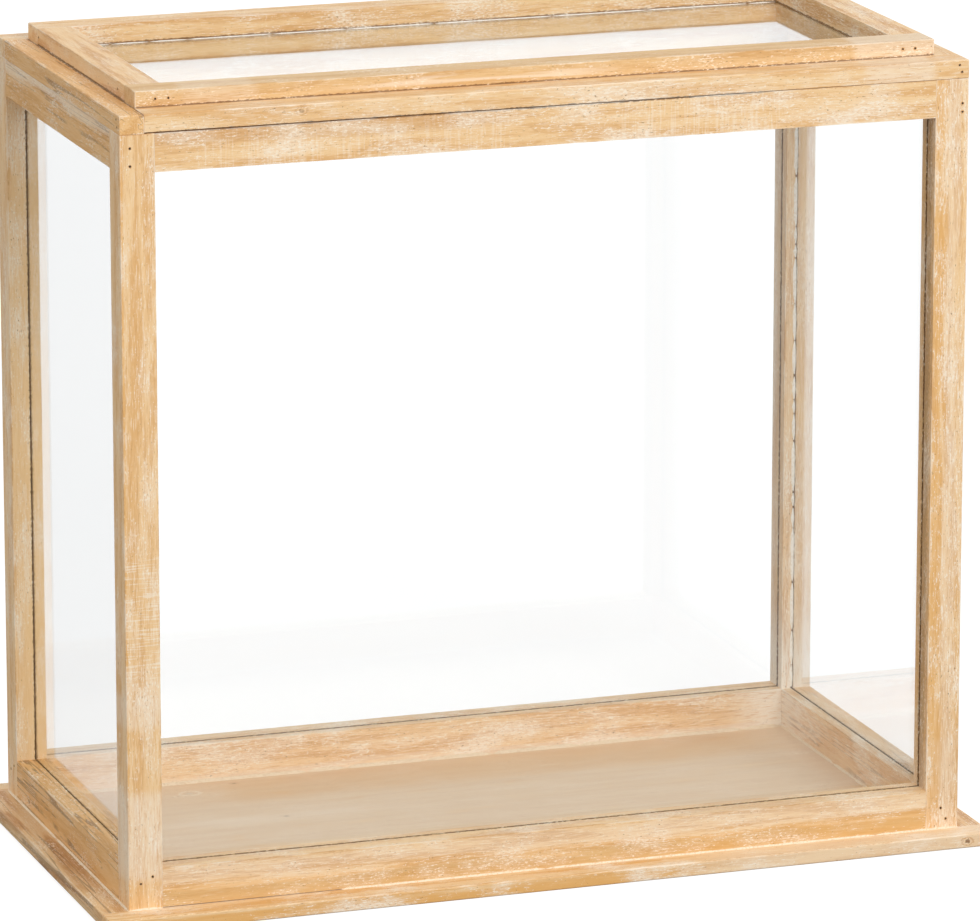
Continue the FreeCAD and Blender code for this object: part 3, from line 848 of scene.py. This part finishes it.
def make_floor():
    """A wide pale floor. It looks white and still takes the shadow of the case."""
    mesh = bpy.data.meshes.new("floor")
    floor = bpy.data.objects.new("floor", mesh)
    bpy.context.scene.collection.objects.link(floor)
    half = 60.0
    mesh.from_pydata([(-half, -half, 0), (half, -half, 0), (half, half, 0), (-half, half, 0)],
                     [], [(0, 1, 2, 3)])
    material, tree, output = new_material("floor")
    paint = tree.nodes.new("ShaderNodeBsdfDiffuse")
    paint.inputs["Color"].default_value = (0.35, 0.35, 0.35, 1.0)
    glow = tree.nodes.new("ShaderNodeEmission")
    glow_strength = math_node(tree, "MULTIPLY", seen_ray(tree, in_gloss=0.3), 0.80)
    tree.links.new(glow_strength, glow.inputs["Strength"])
    total = tree.nodes.new("ShaderNodeAddShader")
    tree.links.new(paint.outputs[0], total.inputs[0])
    tree.links.new(glow.outputs[0], total.inputs[1])
    tree.links.new(total.outputs[0], output.inputs["Surface"])
    mesh.materials.append(material)
    floor.location.z = -0.05 * MM


def make_world():
    world = bpy.data.worlds.new("studio")
    bpy.context.scene.world = world
    world.use_nodes = True
    tree = world.node_tree
    tree.nodes.clear()
    output = tree.nodes.new("ShaderNodeOutputWorld")
    backdrop = tree.nodes.new("ShaderNodeBackground")
    backdrop.inputs["Strength"].default_value = 1.0
    backdrop.inputs["Color"].default_value = (1.0, 1.0, 1.0, 1.0)
    soft = tree.nodes.new("ShaderNodeBackground")
    soft.inputs["Strength"].default_value = 0.66
    soft.inputs["Color"].default_value = (1.0, 1.0, 1.0, 1.0)
    mix = tree.nodes.new("ShaderNodeMixShader")
    tree.links.new(seen_ray(tree), mix.inputs[0])
    tree.links.new(soft.outputs[0], mix.inputs[1])
    tree.links.new(backdrop.outputs[0], mix.inputs[2])
    tree.links.new(mix.outputs[0], output.inputs["Surface"])


def make_lamp(name, place, size, power, colour=(1.0, 1.0, 1.0)):
    """A square soft box that faces the middle of the case."""
    light = bpy.data.lights.new(name, "AREA")
    light.shape = "SQUARE"
    light.size = size
    light.energy = power
    light.color = colour
    lamp = bpy.data.objects.new(name, light)
    bpy.context.scene.collection.objects.link(lamp)
    lamp.location = place
    aim = Vector((0, 0, 0.28)) - Vector(place)
    lamp.rotation_euler = aim.to_track_quat("-Z", "Y").to_euler()


def make_camera():
    data = bpy.data.cameras.new("camera")
    data.sensor_width = SENSOR_WIDTH
    data.lens = FOCAL_PIXELS * SENSOR_WIDTH / IMAGE_WIDTH
    data.clip_end = 200.0
    camera = bpy.data.objects.new("camera", data)
    bpy.context.scene.collection.objects.link(camera)
    camera.location = CAMERA_PLACE
    camera.rotation_euler = Euler((math.pi / 2 - CAMERA_TILT, 0.0, -CAMERA_TURN))
    bpy.context.scene.camera = camera


make_floor()
make_world()
make_lamp("key", (0.5, -3.0, 2.0), 1.6, 59.5)
make_lamp("fill", (-3.0, -1.2, 1.6), 2.0, 10.2, colour=(1.0, 0.96, 0.92))
make_lamp("back", (1.3, 3.8, 1.6), 3.0, 12.5, colour=(0.90, 0.96, 1.0))
make_camera()
bpy.context.scene.view_settings.view_transform = "Standard"
